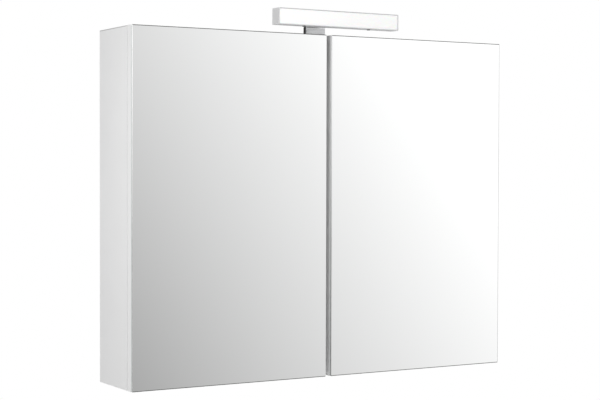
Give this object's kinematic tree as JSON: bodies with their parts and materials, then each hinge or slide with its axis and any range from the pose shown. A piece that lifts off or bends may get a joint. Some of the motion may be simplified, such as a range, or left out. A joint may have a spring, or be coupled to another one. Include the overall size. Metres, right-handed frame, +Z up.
{
  "type": "mirror cabinet with lamp",
  "caption": "Wall-hung bathroom cabinet with mirrored doors on concealed hinges, glass shelves and a bar lamp on a chromed bracket over the top.",
  "frame": {"origin": "on the wall plane, at the middle of the cabinet's underside", "axes": "+X along the width, -Y out of the mirrored doors, +Y into the wall, +Z up"},
  "size_m": [0.8, 0.183, 0.681],
  "materials": {
    "white_melamine": "white melamine faced board, smooth satin",
    "zinc": "bright zinc plated",
    "nickel_steel": "nickel plated steel",
    "shelf_glass": "clear float glass with polished edges",
    "white_plastic": "fine matt moulded",
    "rocker_grey": "smooth moulded",
    "driver_grey": "matt moulded",
    "mirror_glass": "silvered float glass, seamed edges",
    "bumper": "soft clear pad",
    "black_rubber": "matt",
    "lamp_silver": "satin anodised",
    "opal": "opal diffuser",
    "led_board": "white circuit board",
    "dark_screw": "blackened steel",
    "bracket_chrome": "polished chrome"
  },
  "bodies": {
    "root": {"side_panel_left": "white_melamine", "side_panel_right": "white_melamine", "top_panel": "white_melamine", "bottom_panel": "white_melamine", "centre_partition": "white_melamine", "back_panel": "white_melamine", "cam_locks": "zinc", "cam_bolts": "nickel_steel", "shelf_left_lower": "shelf_glass", "shelf_left_upper": "shelf_glass", "shelf_right_lower": "shelf_glass", "shelf_right_upper": "shelf_glass", "shelf_pins_left": "nickel_steel", "shelf_pins_right": "nickel_steel", "hanger_box_left": "white_plastic", "hanger_box_right": "white_plastic", "hanger_hook_left": "nickel_steel", "hanger_hook_right": "nickel_steel", "wall_plate_left": "nickel_steel", "wall_plate_right": "nickel_steel", "hinge_arms_left": "nickel_steel", "hinge_arms_right": "nickel_steel", "arm_pins_left": "zinc", "arm_pins_right": "zinc", "hinge_plates_left": "nickel_steel", "hinge_plates_right": "nickel_steel", "plate_screws_left": "zinc", "plate_screws_right": "zinc", "switch_housing": "white_plastic", "switch_cover": "white_plastic", "socket_insert": "white_plastic", "led_driver": "driver_grey", "box_screws": "zinc", "cable_grommet": "black_rubber", "lamp_housing": "lamp_silver", "lamp_diffuser": "opal", "lamp_end_cap_left": "lamp_silver", "lamp_end_cap_right": "lamp_silver", "led_tray": "lamp_silver", "led_strip": "led_board", "lamp_case_screws": "dark_screw", "lamp_bracket": "bracket_chrome", "bracket_screws": "nickel_steel"},
    "door_left": {"door_board_left": "white_melamine", "mirror_left": "mirror_glass", "door_bumpers_left": "bumper", "hinge_cups_left": "nickel_steel", "cup_screws_left": "nickel_steel", "cup_pins_left": "zinc"},
    "outer_link_left": {"outer_links_left": "nickel_steel"},
    "inner_link_left": {"inner_links_left": "nickel_steel"},
    "door_right": {"door_board_right": "white_melamine", "mirror_right": "mirror_glass", "door_bumpers_right": "bumper", "hinge_cups_right": "nickel_steel", "cup_screws_right": "nickel_steel", "cup_pins_right": "zinc"},
    "outer_link_right": {"outer_links_right": "nickel_steel"},
    "inner_link_right": {"inner_links_right": "nickel_steel"},
    "rocker": {"rocker_switch": "rocker_grey"}
  },
  "joints": [
    {"name": "outer_link_left_turn", "type": "hinge", "parent": "root", "child": "outer_link_left", "pos_m": [-0.3665, -0.106, 0.32], "axis": [0, 0, -1], "range_deg": [-33.5, 0]},
    {"name": "door_left_swing", "type": "hinge", "parent": "outer_link_left", "child": "door_left", "pos_m": [-0.3895, -0.1277, 0.32], "axis": [0, 0, -1], "range_deg": [0, 128]},
    {"name": "inner_link_left_turn", "type": "hinge", "parent": "root", "child": "inner_link_left", "pos_m": [-0.356, -0.119, 0.32], "axis": [0, 0, -1], "range_deg": [-37.2, 0]},
    {"name": "outer_link_right_turn", "type": "hinge", "parent": "root", "child": "outer_link_right", "pos_m": [0.3665, -0.106, 0.32], "axis": [0, 0, 1], "range_deg": [-33.5, 0]},
    {"name": "door_right_swing", "type": "hinge", "parent": "outer_link_right", "child": "door_right", "pos_m": [0.3895, -0.1277, 0.32], "axis": [0, 0, 1], "range_deg": [0, 128]},
    {"name": "inner_link_right_turn", "type": "hinge", "parent": "root", "child": "inner_link_right", "pos_m": [0.356, -0.119, 0.32], "axis": [0, 0, 1], "range_deg": [-37.2, 0]},
    {"name": "rocker_tilt", "type": "hinge", "parent": "root", "child": "rocker", "pos_m": [0.03, -0.097, 0.599], "axis": [1, 0, 0], "range_deg": [-14, 0]}
  ],
  "couplings": [
    {"joint": "outer_link_left_turn", "follows": "door_left_swing", "ratio": -0.26},
    {"joint": "inner_link_left_turn", "follows": "door_left_swing", "ratio": -0.289},
    {"joint": "outer_link_right_turn", "follows": "door_right_swing", "ratio": -0.26},
    {"joint": "inner_link_right_turn", "follows": "door_right_swing", "ratio": -0.289}
  ]
}
